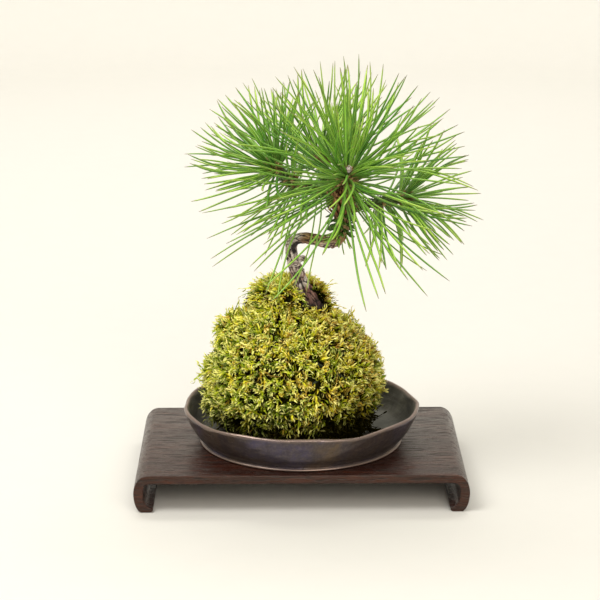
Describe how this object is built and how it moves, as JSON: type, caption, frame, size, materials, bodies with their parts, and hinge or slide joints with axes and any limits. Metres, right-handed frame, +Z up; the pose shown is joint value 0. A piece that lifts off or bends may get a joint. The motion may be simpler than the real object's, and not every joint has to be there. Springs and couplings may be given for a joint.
{
  "type": "kokedama moss ball plant",
  "caption": "Young pine rooted in a moss-wrapped soil ball, standing in a shallow glazed dish on a low wooden stand with curled ends.",
  "frame": {"origin": "on the floor, under the middle of the whole outline seen from above", "axes": "+Z up, front of the stand and dish towards -Y, the long side of the stand along X"},
  "size_m": [0.1684, 0.1354, 0.2129],
  "materials": {
    "wood": "satin dark stained wood",
    "glaze": "semi-gloss dark metallic glaze",
    "soil": "matt damp soil",
    "moss": "matt leafy moss",
    "thread": "matt dark thread",
    "bark": "rough flaky bark",
    "needle": "satin green needles",
    "bud": "matt pale bud scales"
  },
  "bodies": {
    "root": {"stand": "wood", "dish": "glaze", "soil_ball": "soil", "moss_mat": "moss", "binding_thread": "thread", "pine_trunk": "bark", "needles_apex": "needle", "needles_left": "needle", "needles_back": "needle", "needles_right": "needle", "bud_apex": "bud"}
  },
  "joints": []
}
